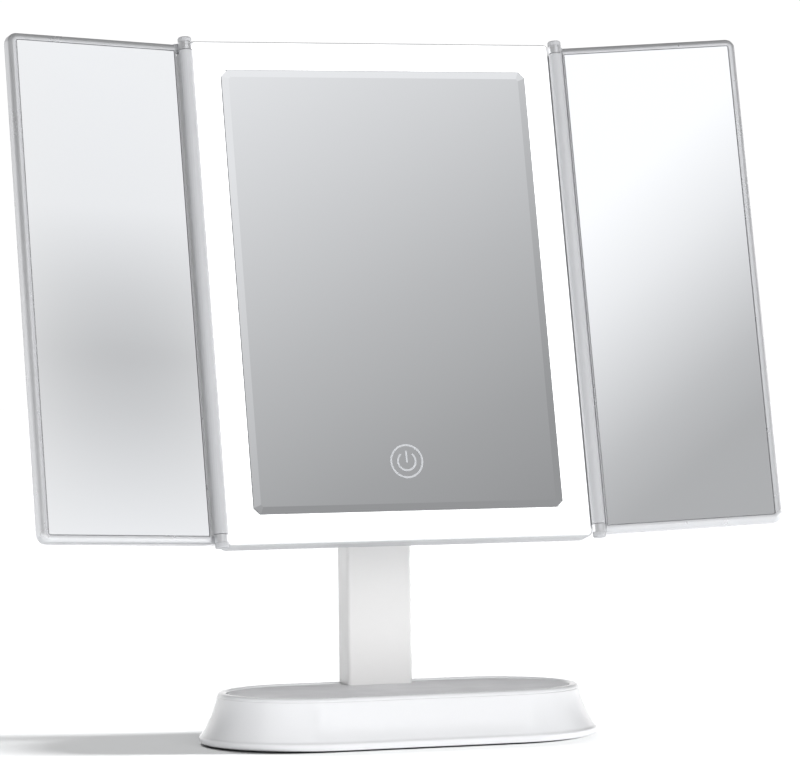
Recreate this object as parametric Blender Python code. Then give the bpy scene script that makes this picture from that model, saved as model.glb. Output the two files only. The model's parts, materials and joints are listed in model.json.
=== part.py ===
"""A tri-fold lighted vanity mirror, modelled as its separate pieces.

X is to the right, Y to the back and Z up, in metres. The base stands on Z = 0. The head hangs on
an empty at the tilt axis, and each side mirror on an empty at its own hinge axis. Head parts are
drawn upright: X across, Y into the panel from its front face, and Z up along the panel.
"""

import math

import bmesh
import bpy

GAP = 0.0003

# The stand
BASE_HALF_LENGTH = 0.0952
BASE_HALF_DEPTH = 0.0518
BASE_RIM_INSET = 0.0085
BASE_BOTTOM_Z = 0.0008
BASE_LIP_Z = 0.0040
BASE_RIM_Z = 0.0240
BASE_WALL = 0.0022
RIM_WIDTH = 0.0042
TRAY_FLOOR_Z = 0.0224
TRAY_MAT_THICK = 0.0008
SHELL_ROOF_Z = 0.0196
PLATE_TOP_Z = 0.0036
STEM_HALF_WIDTH = 0.0160
STEM_HALF_DEPTH = 0.0080
STEM_WALL = 0.0020
STEM_CORNER = 0.0016
STEM_Y = 0.0355
STEM_BOTTOM_Z = 0.0142
FOOT_SCREW_X = 0.0235
BASE_SCREWS = ((-0.076, -0.022), (0.076, -0.022), (-0.034, 0.040), (0.034, 0.040))

# The tilt joint
PIVOT_Z = 0.2030
TILT = math.radians(12.9)
DRUM_RADIUS = 0.0057
DRUM_HALF_WIDTH = 0.0052
CHEEK_X = 0.0063
AXLE_RADIUS = 0.0025
STEM_TOP = 0.0090

# The centre panel
PANEL_FORWARD = 0.0330
PANEL_HALF_WIDTH = 0.0890
PANEL_HALF_HEIGHT = 0.1200
PANEL_CORNER = 0.0020
EDGE_RADIUS = 0.0016
BEZEL_WALL = 0.0014
BEZEL_DEPTH = 0.0120
COVER_BACK = 0.0143
MIRROR_HALF_WIDTH = 0.0752
MIRROR_HALF_HEIGHT = 0.1057
MIRROR_CORNER = 0.0030
MIRROR_BEVEL = 0.0034
TOUCH_Z = -0.0825
BOSS_X = 0.0840
BOSS_Z = 0.1150
BRACKET_SCREW_X = 0.0160
BRACKET_SCREW_Z = 0.0190

# The side mirrors and their hinges
HINGE_X = 0.0919
HINGE_OUT = 0.0010
WING_ANGLES = {"left": math.radians(11.1), "right": math.radians(12.7)}
COLUMN_RADIUS = 0.0032
COLUMN_ROOT = 0.0022
COLUMN_HALF_HEIGHT = 0.1146
PIN_RADIUS = 0.0013
PIN_DEPTH = 0.0120
LUG_RADIUS = 0.0032
LUG_BOTTOM = 0.1149
LUG_TOP = 0.1185
CAP_TOP = 0.1211
WING_START = 0.0034
WING_WIDTH = 0.0848
WING_SET_BACK = 0.0020
WING_MARGIN = 0.0032
HINGE_MARGIN = 0.0009
WING_HALF_HEIGHT = 0.1186
WING_DEPTH = 0.0080
WING_CORNERS = (0.0045, 0.0012, 0.0012, 0.0045)

WHITE_GLOSS = ((0.86, 0.86, 0.87), 0.18, 0.0)
WHITE_SATIN = ((0.80, 0.80, 0.81), 0.40, 0.0)
TRAY_GREY = ((0.52, 0.52, 0.53), 0.55, 0.0)
RUBBER_DARK = ((0.05, 0.05, 0.055), 0.80, 0.0)
SATIN_ALUMINIUM = ((0.74, 0.74, 0.76), 0.32, 0.9)
STEEL = ((0.56, 0.56, 0.58), 0.35, 1.0)
MIRROR_SILVER = ((0.88, 0.89, 0.90), 0.03, 1.0)
OPAL = ((0.95, 0.95, 0.95), 0.35, 0.0)
BOARD_GREEN = ((0.03, 0.20, 0.09), 0.45, 0.0)
STRIP_WHITE = ((0.85, 0.85, 0.80), 0.50, 0.0)
CELL_BLUE = ((0.05, 0.12, 0.32), 0.40, 0.0)
CABLE_BLACK = ((0.03, 0.03, 0.03), 0.50, 0.0)
FOAM_GREY = ((0.30, 0.30, 0.31), 0.90, 0.0)


# Outlines: lists of (x, y) points, counter-clockwise

def arc(centre, radius, start, end, steps):
    """Points on an arc, angles in degrees, both ends included."""
    angles = [math.radians(start + (end - start) * i / steps) for i in range(steps + 1)]
    return [(centre[0] + radius * math.cos(a), centre[1] + radius * math.sin(a)) for a in angles]


def circle(radius, centre=(0.0, 0.0), sides=16):
    return arc(centre, radius, 0.0, 360.0 * (sides - 1) / sides, sides - 1)


def rounded_rect(half_x, half_y, radii, steps=4):
    """A rectangle with round corners; radii is one value, or one for each corner."""
    if not isinstance(radii, tuple):
        radii = (radii,) * 4
    points = []
    for quarter, (side_x, side_y) in enumerate(((1, 1), (-1, 1), (-1, -1), (1, -1))):
        radius = radii[quarter]
        centre = (side_x * (half_x - radius), side_y * (half_y - radius))
        points += arc(centre, radius, 90.0 * quarter, 90.0 * quarter + 90.0, steps)
    return points


def stadium(half_length, half_depth, steps=16):
    """Two half circles joined by straight sides along X."""
    straight = half_length - half_depth
    right = arc((straight, 0.0), half_depth, -90.0, 90.0, steps)
    left = arc((-straight, 0.0), half_depth, 90.0, 270.0, steps)
    return right + left


def flat(outline, z):
    """A ring lying level at height z."""
    return [(x, y, z) for x, y in outline]


def upright(outline, depth):
    """A ring standing in the panel's plane, at a depth behind its front face."""
    return [(x, depth, z) for x, z in outline]


# Solids: every one is made in its own local frame and placed at the end

def make_object(name, bm):
    """An object from a bmesh, with its faces turned outward."""
    bmesh.ops.recalc_face_normals(bm, faces=bm.faces)
    mesh = bpy.data.meshes.new(name)
    bm.to_mesh(mesh)
    bm.free()
    obj = bpy.data.objects.new(name, mesh)
    bpy.context.scene.collection.objects.link(obj)
    return obj


def loft(name, rings, hollow=False):
    """A closed body through rings of equal length; hollow joins the last ring to the first."""
    bm = bmesh.new()
    loops = [[bm.verts.new(point) for point in ring] for ring in rings]
    pairs = list(zip(loops, loops[1:]))
    if hollow:
        pairs.append((loops[-1], loops[0]))
    else:
        bm.faces.new(loops[0])
        bm.faces.new(loops[-1])
    for lower, upper in pairs:
        for i, j in zip(range(len(lower)), list(range(1, len(lower))) + [0]):
            bm.faces.new((lower[i], lower[j], upper[j], upper[i]))
    return make_object(name, bm)


def block(name, low, high):
    """A box between two corners."""
    bm = bmesh.new()
    bmesh.ops.create_cube(bm, size=1.0)
    for vert in bm.verts:
        vert.co = [a if c < 0 else b for a, b, c in zip(low, high, vert.co)]
    return make_object(name, bm)


def rod(name, axis, centre, radius, start, end, sides=12):
    """A cylinder along X, Y or Z; centre holds its other two coordinates."""
    ring = circle(radius, centre, sides)
    column = "xyz".index(axis)
    return loft(name, [[(*p[:column], t, *p[column:]) for p in ring] for t in (start, end)])


def combine(target, operation, tools):
    """Apply a Boolean with each tool in turn, and remove the tools."""
    for tool in tools:
        modifier = target.modifiers.new("combine", "BOOLEAN")
        modifier.operation = operation
        modifier.solver = "EXACT"
        modifier.object = tool
        bpy.context.view_layer.update()
        depsgraph = bpy.context.evaluated_depsgraph_get()
        target.data = bpy.data.meshes.new_from_object(target.evaluated_get(depsgraph))
        target.modifiers.clear()
        bpy.data.objects.remove(tool)
    return target


def cut(target, *tools):
    return combine(target, "DIFFERENCE", tools)


def add(target, *tools):
    return combine(target, "UNION", tools)


def tube(name, path, radius, sides=12):
    """A closed round tube along a path of points."""
    bm = bmesh.new()
    curve = bpy.data.curves.new(name, "CURVE")
    curve.dimensions = "3D"
    spline = curve.splines.new("POLY")
    spline.points.add(len(path) - 1)
    for point, spot in zip(spline.points, path):
        point.co = (*spot, 1.0)
    curve.bevel_depth = radius
    curve.bevel_resolution = sides // 4 - 1
    curve.use_fill_caps = True
    source = bpy.data.objects.new(name, curve)
    bpy.context.scene.collection.objects.link(source)
    bpy.context.view_layer.update()
    mesh = bpy.data.meshes.new_from_object(source)
    bm.from_mesh(mesh)
    bmesh.ops.remove_doubles(bm, verts=bm.verts, dist=1e-6)
    bpy.data.objects.remove(source)
    return make_object(name, bm)


def look(obj, finish):
    """Give an object its own Principled material and smooth its round faces."""
    colour, roughness, metallic = finish
    material = bpy.data.materials.new(obj.name + "_finish")
    material.use_nodes = True
    shader = material.node_tree.nodes["Principled BSDF"]
    shader.inputs["Base Color"].default_value = (*colour, 1.0)
    shader.inputs["Roughness"].default_value = roughness
    shader.inputs["Metallic"].default_value = metallic
    obj.data.materials.clear()
    obj.data.materials.append(material)
    obj.data.shade_smooth()
    obj.data.set_sharp_from_angle(angle=math.radians(35.0))


def place(obj, finish, parent, location=(0.0, 0.0, 0.0), rotation=(0.0, 0.0, 0.0)):
    """Finish a part and hang it on its parent empty."""
    look(obj, finish)
    obj.parent = parent
    obj.location = location
    obj.rotation_euler = rotation
    return obj


def empty(name, parent=None, location=(0.0, 0.0, 0.0), rotation=(0.0, 0.0, 0.0)):
    obj = bpy.data.objects.new(name, None)
    obj.empty_display_size = 0.02
    bpy.context.scene.collection.objects.link(obj)
    obj.parent = parent
    obj.location = location
    obj.rotation_euler = rotation
    return obj


def screw(name, shank_radius, length, head_radius, head_height):
    """A screw along +Z from the underside of its head at Z = 0, with a round driver recess."""
    driver = head_radius * 0.45
    profile = [
        (shank_radius * 0.6, length), (shank_radius, length - shank_radius), (shank_radius, 0.0),
        (head_radius, 0.0), (head_radius, -0.6 * head_height), (head_radius * 0.8, -head_height),
        (driver, -head_height), (driver, -0.4 * head_height),
    ]
    return loft(name, [flat(circle(r, sides=12), z) for r, z in profile])


# The base

def base_section(inset, z):
    """The base's stadium outline, pulled in from its widest place."""
    return flat(stadium(BASE_HALF_LENGTH - inset, BASE_HALF_DEPTH - inset), z)


def wall_inset(height):
    """How far the concave wall has come in at a share of its height, by a quadratic curve."""
    return BASE_RIM_INSET * (1.6 * height - 0.6 * height * height)


def base_wall_rings(thickness, low, high, steps):
    """Rings that follow the flared wall, at a thickness inside its outer face."""
    rings = []
    for i in range(steps + 1):
        z = low + (high - low) * i / steps
        share = min(1.0, max(0.0, (z - BASE_LIP_Z) / (BASE_RIM_Z - BASE_LIP_Z)))
        rings.append(base_section(wall_inset(share) + thickness, z))
    return rings


def stem_notch(name, low, high):
    """The notch that the stem drops into, round in front and open to the rear."""
    half, front, radius = STEM_HALF_WIDTH + GAP, STEM_HALF_DEPTH + GAP, STEM_CORNER + GAP
    outline = [(half, 0.0200), (-half, 0.0200)]
    outline += arc((radius - half, radius - front), radius, 180.0, 270.0, 4)
    outline += arc((half - radius, radius - front), radius, 270.0, 360.0, 4)
    return loft(name, [flat([(x, y + STEM_Y) for x, y in outline], z) for z in (low, high)])


def make_base_shell(parent):
    rim = BASE_RIM_INSET
    rings = [base_section(0.0012, BASE_BOTTOM_Z), base_section(0.0003, 0.0018)]
    rings += base_wall_rings(0.0, BASE_LIP_Z, 0.0220, 6)
    rings += [
        base_section(rim + 0.0002, 0.0229), base_section(rim + 0.0007, 0.0236),
        base_section(rim + 0.0018, BASE_RIM_Z), base_section(rim + RIM_WIDTH - 0.0009, BASE_RIM_Z),
        base_section(rim + RIM_WIDTH, 0.0235), base_section(rim + RIM_WIDTH, TRAY_FLOOR_Z),
    ]
    shell = loft("base_shell", rings)
    cavity = [base_section(BASE_WALL, 0.0)]
    cavity += base_wall_rings(BASE_WALL, BASE_LIP_Z, SHELL_ROOF_Z, 3)
    cut(shell, loft("cavity", cavity))
    bosses = [rod("boss", "z", spot, 0.0035, PLATE_TOP_Z + GAP, 0.0200) for spot in BASE_SCREWS]
    bosses += [
        rod("boss", "z", (side * FOOT_SCREW_X, STEM_Y), 0.0042, STEM_BOTTOM_Z, 0.0200)
        for side in (-1, 1)
    ]
    add(shell, *bosses)
    bores = [rod("bore", "z", spot, 0.0014, 0.0030, 0.0120) for spot in BASE_SCREWS]
    bores += [
        rod("bore", "z", (side * FOOT_SCREW_X, STEM_Y), 0.0016, 0.0130, 0.0186)
        for side in (-1, 1)
    ]
    cut(shell, *bores, stem_notch("notch", 0.0150, 0.0260))
    port = rounded_rect(0.0048, 0.0020, 0.0019)
    port_hole = [[(x, y, z + 0.0075) for x, z in port] for y in (0.0413, 0.0540)]
    cut(shell, loft("port_hole", port_hole))
    place(shell, WHITE_GLOSS, parent)


def make_tray_mat(parent):
    inset = BASE_RIM_INSET + RIM_WIDTH + GAP
    top = TRAY_FLOOR_Z + TRAY_MAT_THICK
    rings = [
        base_section(inset, TRAY_FLOOR_Z + 0.00005), base_section(inset, top - 0.0002),
        base_section(inset + 0.0003, top),
    ]
    mat = loft("tray_mat", rings)
    cut(mat, stem_notch("notch", 0.0210, 0.0240))
    place(mat, TRAY_GREY, parent)


def make_base_plate(parent):
    inset = BASE_WALL + GAP + 0.0004
    plate = loft("base_plate", [base_section(inset, z) for z in (BASE_BOTTOM_Z, PLATE_TOP_Z)])
    holes = [rod("hole", "z", spot, 0.0016, 0.0, 0.0050) for spot in BASE_SCREWS]
    holes += [rod("hole", "z", spot, 0.0029, 0.0, 0.0024) for spot in BASE_SCREWS]
    cut(plate, *holes)
    place(plate, WHITE_SATIN, parent)


def make_foot_pad(parent):
    rings = [base_section(0.0050, 0.0), base_section(0.0045, 0.0002), base_section(0.0045, 0.0006)]
    place(loft("foot_pad", rings), RUBBER_DARK, parent)


def make_base_screws(parent):
    for number, spot in enumerate(BASE_SCREWS, 1):
        obj = screw(f"base_screw_{number}", 0.0012, 0.0090, 0.0026, 0.0010)
        place(obj, STEEL, parent, (*spot, 0.0024))


def make_ballast_bar(parent):
    centre = (0.0, -0.0240)
    outline = [(x + centre[0], y + centre[1]) for x, y in rounded_rect(0.062, 0.016, 0.002)]
    place(loft("ballast_bar", [flat(outline, z) for z in (0.0039, 0.0119)]), STEEL, parent)


def make_battery_pack(parent):
    outline = [(x - 0.052, y + 0.018) for x, y in rounded_rect(0.018, 0.015, 0.003)]
    inner = [(x - 0.052, y + 0.018) for x, y in rounded_rect(0.0168, 0.0138, 0.002)]
    rings = [flat(inner, 0.0039), flat(outline, 0.0051), flat(outline, 0.0117), flat(inner, 0.0129)]
    place(loft("battery_pack", rings), CELL_BLUE, parent)


def make_charging_board(parent):
    board = block("charging_board", (-0.015, 0.0215, 0.0039), (0.015, 0.0458, 0.0051))
    parts = (
        ((-0.012, 0.0235, 0.0050), (-0.006, 0.0295, 0.0064)),
        ((0.006, 0.0245, 0.0050), (0.012, 0.0285, 0.0070)),
        ((-0.012, 0.0335, 0.0050), (-0.009, 0.0395, 0.0060)),
    )
    add(board, *[block("chip", low, high) for low, high in parts])
    place(board, BOARD_GREEN, parent)


def make_charging_port(parent):
    """A flat-oval receptacle with its tongue, open to the rear."""
    def section(half_x, half_z, y):
        return [(x, y, z + 0.0075) for x, z in rounded_rect(half_x, half_z, half_z - 0.0001)]
    shell = loft("charging_port", [section(0.0045, 0.0017, y) for y in (0.0413, 0.0485)])
    cut(shell, loft("mouth", [section(0.0041, 0.0013, y) for y in (0.0425, 0.0493)]))
    add(shell, block("tongue", (-0.0033, 0.0423, 0.00715), (0.0033, 0.0473, 0.00785)))
    place(shell, STEEL, parent)


# The stem and its tilt fork

def make_stem(parent):
    outer = rounded_rect(STEM_HALF_WIDTH, STEM_HALF_DEPTH, STEM_CORNER)
    inner = rounded_rect(STEM_HALF_WIDTH - STEM_WALL, STEM_HALF_DEPTH - STEM_WALL, 0.0006)
    top = PIVOT_Z + STEM_TOP
    rings = [flat(outer, z) for z in (STEM_BOTTOM_Z, top)]
    rings += [flat(inner, z) for z in (top, STEM_BOTTOM_Z)]
    stem = loft("stem", rings, hollow=True)
    slot = block("slot", (-0.0066, -0.0090, PIVOT_Z - 0.0090), (0.0066, -0.0050, top + 0.0010))
    spots = [(side * 0.0100, PIVOT_Z - 0.0180) for side in (-1, 1)]
    cut(stem, slot, *[rod("hole", "y", spot, 0.0016, 0.0050, 0.0090) for spot in spots])
    place(stem, SATIN_ALUMINIUM, parent, (0.0, STEM_Y, 0.0))


def make_stem_foot(parent):
    outline = [(x, y - 0.0024) for x, y in rounded_rect(0.0290, 0.0104, 0.0030)]
    narrow = rounded_rect(0.0137, 0.0057, 0.0006)
    flange = loft("stem_foot", [flat(outline, z) for z in (0.0110, 0.0139)])
    add(flange, loft("plug", [flat(narrow, z) for z in (0.0130, 0.0340)]))
    spots = [(side * FOOT_SCREW_X, 0.0) for side in (-1, 1)]
    holes = [rod("hole", "z", spot, 0.0017, 0.0100, 0.0150) for spot in spots]
    cut(flange, rod("channel", "z", (0.0, 0.0), 0.0025, 0.0100, 0.0350), *holes)
    place(flange, STEEL, parent, (0.0, STEM_Y, 0.0))
    for word, side in (("left", -1), ("right", 1)):
        obj = screw(f"stem_foot_screw_{word}", 0.0014, 0.0070, 0.0029, 0.0016)
        place(obj, STEEL, parent, (side * FOOT_SCREW_X, STEM_Y, 0.0109))


def make_stem_yoke(parent):
    """Two cheeks on a cross bridge, with a flange on each that covers the tube's end."""
    yoke = block("stem_yoke", (-0.0137, -0.0057, -0.0240), (0.0137, 0.0057, STEM_TOP + 0.0004))
    caps = rounded_rect(STEM_HALF_WIDTH, STEM_HALF_DEPTH, STEM_CORNER)
    soft = rounded_rect(STEM_HALF_WIDTH - 0.0008, STEM_HALF_DEPTH - 0.0008, STEM_CORNER - 0.0008)
    profile = ((caps, 0.0001), (caps, 0.0008), (soft, 0.0016))
    add(yoke, loft("cap", [flat(outline, STEM_TOP + rise) for outline, rise in profile]))
    cut(
        yoke,
        block("gap", (-CHEEK_X, -0.0100, -0.0120), (CHEEK_X, 0.0100, 0.0200)),
        rod("axle_bore", "x", (0.0, 0.0), AXLE_RADIUS + 0.0002, -0.0200, 0.0200, 16),
        rod("wire_bore", "z", (0.0, 0.0), 0.0022, -0.0300, 0.0),
        rod("screw_bore", "y", (-0.0100, -0.0180), 0.0014, -0.0020, 0.0100),
        rod("screw_bore", "y", (0.0100, -0.0180), 0.0014, -0.0020, 0.0100),
    )
    place(yoke, STEEL, parent, (0.0, STEM_Y, PIVOT_Z))


def make_tilt_hardware(parent):
    pivot = (0.0, STEM_Y, PIVOT_Z)
    washer = ((0.0053, 0.00535), (0.0053, 0.00615), (0.0028, 0.00615), (0.0028, 0.00535))
    for word, side in (("left", -1), ("right", 1)):
        span = (0.0026 * side, 0.0134 * side)
        pin = rod(f"tilt_pin_{word}", "x", (0.0, 0.0), AXLE_RADIUS, *span, 16)
        place(pin, STEEL, parent, pivot)
        rings = [[(t * side, y, z) for y, z in circle(radius)] for radius, t in washer]
        place(loft(f"tilt_washer_{word}", rings, hollow=True), RUBBER_DARK, parent, pivot)
        obj = screw(f"yoke_screw_{word}", 0.0012, 0.0080, 0.0027, 0.0014)
        spot = (side * 0.0100, STEM_Y + STEM_HALF_DEPTH + 0.0001, PIVOT_Z - 0.0180)
        place(obj, STEEL, parent, spot, (math.radians(90.0), 0.0, 0.0))


def make_stem_wire(parent):
    """Lead from the charger circuit up the stem to just below the tilt drum."""
    bend, start = 0.0035, 0.0066
    turn = [math.radians(angle) for angle in range(0, 91, 15)]
    path = [(0.0054, 0.0, start)]
    path += [(bend - bend * math.sin(a), 0.0, start + bend - bend * math.cos(a)) for a in turn]
    path.append((0.0, 0.0, PIVOT_Z - DRUM_RADIUS - 0.0008))
    place(tube("stem_wire", path, 0.0012), CABLE_BLACK, parent, (0.0, STEM_Y, 0.0))


# The head

def panel_ring(inset, depth, corner=PANEL_CORNER):
    radius = max(corner - inset, 0.0004)
    return upright(rounded_rect(PANEL_HALF_WIDTH - inset, PANEL_HALF_HEIGHT - inset, radius), depth)


def corner_spots(x, z):
    return [(x, z), (-x, z), (-x, -z), (x, -z)]


def make_front_bezel(parent):
    """The side band behind the lit front, with a boss in each corner for the cover screws."""
    front = 0.0030 + GAP
    profile = ((BEZEL_WALL, front), (0.0, front), (0.0, BEZEL_DEPTH), (BEZEL_WALL, BEZEL_DEPTH))
    bezel = loft("front_bezel", [panel_ring(inset, depth) for inset, depth in profile], hollow=True)
    spots = corner_spots(BOSS_X, BOSS_Z)
    add(bezel, *[rod("boss", "y", spot, 0.0038, 0.0045, BEZEL_DEPTH - 0.0002) for spot in spots])
    cut(bezel, *[rod("bore", "y", spot, 0.0013, 0.0060, 0.0140) for spot in spots])
    place(bezel, WHITE_SATIN, parent)


def make_light_diffuser(parent):
    """An opal frame to the panel's full size, with a rebate that the centre mirror sits in."""
    lip = BEZEL_WALL + GAP
    edge = arc((EDGE_RADIUS, EDGE_RADIUS), EDGE_RADIUS, 270.0, 180.0, 4)
    profile = edge + [(0.0, 0.0030), (lip, 0.0030), (lip, 0.0038)]
    opening = rounded_rect(MIRROR_HALF_WIDTH - 0.0035, MIRROR_HALF_HEIGHT - 0.0035, MIRROR_CORNER)
    rings = [panel_ring(inset, depth) for inset, depth in profile]
    rings += [upright(opening, 0.0038), upright(opening, 0.0)]
    diffuser = loft("light_diffuser", rings, hollow=True)
    half_x, half_z = MIRROR_HALF_WIDTH + GAP, MIRROR_HALF_HEIGHT + GAP
    pocket = rounded_rect(half_x, half_z, MIRROR_CORNER, 1)
    cut(diffuser, loft("pocket", [upright(pocket, depth) for depth in (-0.0010, 0.0026)]))
    place(diffuser, OPAL, parent)


def make_centre_mirror(parent):
    """Bevelled glass with its corners cut off straight."""
    face = rounded_rect(MIRROR_HALF_WIDTH, MIRROR_HALF_HEIGHT, MIRROR_CORNER, 1)
    inner_x, inner_z = MIRROR_HALF_WIDTH - MIRROR_BEVEL, MIRROR_HALF_HEIGHT - MIRROR_BEVEL
    inner = rounded_rect(inner_x, inner_z, 0.0010, 1)
    rings = [upright(face, 0.0024), upright(face, -0.00045), upright(inner, -0.0006)]
    place(loft("centre_mirror", rings), MIRROR_SILVER, parent)


def make_touch_parts(parent):
    outline = rounded_rect(0.0680, 0.0980, 0.0040)
    pad = loft("mirror_pad", [upright(outline, depth) for depth in (0.0027, 0.0037)])
    cut(pad, rod("hole", "y", (0.0, TOUCH_Z), 0.0085, 0.0, 0.0060))
    place(pad, FOAM_GREY, parent)
    place(rod("touch_pad", "y", (0.0, TOUCH_Z), 0.0075, 0.0027, 0.0035, 24), STEEL, parent)


def make_led_strip(name, parent, count, length, turned, centre):
    """A narrow board with a row of light emitters on its front."""
    def box(name, low, high):
        if turned:
            low, high = (low[2], low[1], low[0]), (high[2], high[1], high[0])
        return block(name, low, high)
    strip = box(name, (-length / 2, 0.0085, -0.0030), (length / 2, 0.0094, 0.0030))
    pitch = length / count
    for i in range(count):
        x = (i + 0.5) * pitch - length / 2
        add(strip, box("emitter", (x - 0.0014, 0.0077, -0.0014), (x + 0.0014, 0.0088, 0.0014)))
    place(strip, STRIP_WHITE, parent, (centre[0], 0.0, centre[1]))


def make_light_engine(parent):
    side_x = PANEL_HALF_WIDTH - 0.0075
    side_z = PANEL_HALF_HEIGHT - 0.0075
    make_led_strip("led_strip_top", parent, 9, 0.144, False, (0.0, side_z))
    make_led_strip("led_strip_bottom", parent, 9, 0.144, False, (0.0, -side_z))
    make_led_strip("led_strip_left", parent, 12, 0.204, True, (-side_x, 0.0))
    make_led_strip("led_strip_right", parent, 12, 0.204, True, (side_x, 0.0))
    outline = rounded_rect(PANEL_HALF_WIDTH - 0.0021, PANEL_HALF_HEIGHT - 0.0021, 0.0210)
    sheet = loft("reflector_sheet", [upright(outline, depth) for depth in (0.0096, 0.0103)])
    cut(sheet, rod("hole", "y", (0.0, 0.0), 0.0025, 0.0, 0.0200))
    place(sheet, STRIP_WHITE, parent)


def make_control_board(parent):
    low, high = TOUCH_Z - 0.0140, TOUCH_Z + 0.0140
    board = block("control_board", (-0.0220, 0.0046, low), (0.0220, 0.0058, high))
    parts = (
        ((-0.0160, 0.0056, low + 0.004), (-0.0090, 0.0070, low + 0.011)),
        ((0.0040, 0.0056, low + 0.005), (0.0120, 0.0072, low + 0.010)),
        ((-0.0040, 0.0056, high - 0.0060), (0.0040, 0.0066, high - 0.0010)),
    )
    add(board, *[block("chip", a, b) for a, b in parts])
    place(board, BOARD_GREEN, parent)


def make_rear_cover(parent):
    profile = ((0.0, 0.0122), (0.0002, 0.0130), (0.0009, 0.0138), (0.0020, COVER_BACK))
    cover = loft("rear_cover", [panel_ring(inset, depth, 0.0030) for inset, depth in profile])
    bracket_spots = corner_spots(BRACKET_SCREW_X, BRACKET_SCREW_Z)
    holes = [rod("hole", "y", spot, 0.0015, 0.0100, 0.0200) for spot in bracket_spots]
    holes += [rod("hole", "y", spot, 0.0015, 0.0100, 0.0200) for spot in corner_spots(BOSS_X, BOSS_Z)]
    holes += [rod("seat", "y", spot, 0.0027, 0.0132, 0.0200) for spot in corner_spots(BOSS_X, BOSS_Z)]
    cut(cover, rod("wire_hole", "y", (0.0, 0.0), 0.0025, 0.0100, 0.0200), *holes)
    place(cover, WHITE_GLOSS, parent)


def make_cover_screws(parent):
    turn = (math.radians(90.0), 0.0, 0.0)
    for number, (x, z) in enumerate(corner_spots(BOSS_X, BOSS_Z), 1):
        obj = screw(f"cover_screw_{number}", 0.0011, 0.0062, 0.0024, 0.0009)
        place(obj, STEEL, parent, (x, 0.0133, z), turn)
    for number, (x, z) in enumerate(corner_spots(BRACKET_SCREW_X, BRACKET_SCREW_Z), 1):
        obj = screw(f"bracket_screw_{number}", 0.0012, 0.0066, 0.0028, 0.0015)
        place(obj, STEEL, parent, (x, 0.0176, z), turn)


def make_tilt_bracket(panel):
    """Steel plate inside the head, and the outer plate with the arm that carries the drum."""
    spots = corner_spots(BRACKET_SCREW_X, BRACKET_SCREW_Z)
    outline = rounded_rect(0.0300, 0.0360, 0.0030)
    stiffener = loft("bracket_stiffener", [upright(outline, depth) for depth in (0.0106, 0.0119)])
    holes = [rod("hole", "y", spot, 0.0014, 0.0, 0.0200) for spot in spots]
    cut(stiffener, rod("wire_hole", "y", (0.0, 0.0), 0.0025, 0.0, 0.0200), *holes)
    place(stiffener, STEEL, panel)
    near = COVER_BACK + 0.0001
    plate = rounded_rect(0.0220, 0.0260, 0.0040)
    small = rounded_rect(0.0212, 0.0252, 0.0032)
    rings = [upright(plate, near), upright(plate, near + 0.0022), upright(small, near + 0.0030)]
    bracket = loft("tilt_bracket", rings)
    half = DRUM_HALF_WIDTH
    arm = block("arm", (-half, near + 0.0020, -0.0040), (half, PANEL_FORWARD, 0.0040))
    add(bracket, arm, rod("drum", "x", (PANEL_FORWARD, 0.0), DRUM_RADIUS, -half, half, 24))
    holes = [rod("hole", "y", spot, 0.0016, 0.0100, 0.0220) for spot in spots]
    cut(
        bracket,
        rod("axle_bore", "x", (PANEL_FORWARD, 0.0), AXLE_RADIUS + 0.0002, -0.0100, 0.0100, 16),
        rod("channel", "y", (0.0, 0.0), 0.0017, 0.0100, PANEL_FORWARD),
        rod("entry", "z", (0.0, PANEL_FORWARD), 0.0017, -0.0100, 0.0),
        *holes,
    )
    place(bracket, STEEL, panel)


def make_head_wire(parent):
    """Lead from the drum through the bracket, then down behind the mirror to the control board."""
    bend, back = 0.0030, 0.0106
    turn = [math.radians(angle) for angle in range(0, 91, 15)]
    path = [(0.0, PANEL_FORWARD - 0.0006, 0.0)]
    path += [(0.0, back - bend * math.sin(a), bend * math.cos(a) - bend) for a in turn]
    path.append((0.0, back - bend, TOUCH_Z + 0.0160))
    place(tube("head_wire", path, 0.0009), CABLE_BLACK, parent)


# The hinges and the side mirrors

def make_hinge_column(name, side, parent):
    """A full-height bead in front, on a square root that is fixed to the side of the bezel."""
    meet = math.degrees(math.acos(COLUMN_ROOT / COLUMN_RADIUS))
    root_in = PANEL_HALF_WIDTH + 0.0002
    lean = math.degrees(math.acos((HINGE_X - root_in) / COLUMN_RADIUS))
    outline = [(root_in, BEZEL_DEPTH)]
    outline += arc((HINGE_X, -HINGE_OUT), COLUMN_RADIUS, 180.0 - lean, 360.0 + meet, 14)
    outline += [(HINGE_X + COLUMN_ROOT, BEZEL_DEPTH)]
    points = [(side * x, y) for x, y in outline]
    column = loft(name, [flat(points, z) for z in (-COLUMN_HALF_HEIGHT, COLUMN_HALF_HEIGHT)])
    reach = COLUMN_HALF_HEIGHT - PIN_DEPTH - 0.0010
    spot = (side * HINGE_X, -HINGE_OUT)
    bores = [rod("bore", "z", spot, PIN_RADIUS + 0.0002, end * reach, end * 0.1200) for end in (-1, 1)]
    cut(column, *bores)
    place(column, WHITE_SATIN, parent)


def wing_ring(side, inset, depth):
    """The wing's outline, pulled in less on the hinge side; X runs outward from the axis."""
    near = max(inset * HINGE_MARGIN / WING_MARGIN, inset - WING_MARGIN + HINGE_MARGIN)
    half_width = (WING_WIDTH - inset - near) / 2
    middle = WING_START + near + half_width
    radii = tuple(max(radius - inset, 0.0003) for radius in WING_CORNERS)
    outline = rounded_rect(half_width, WING_HALF_HEIGHT - inset, radii)
    return upright([(side * (x + middle), z) for x, z in outline], WING_SET_BACK + depth)


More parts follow.
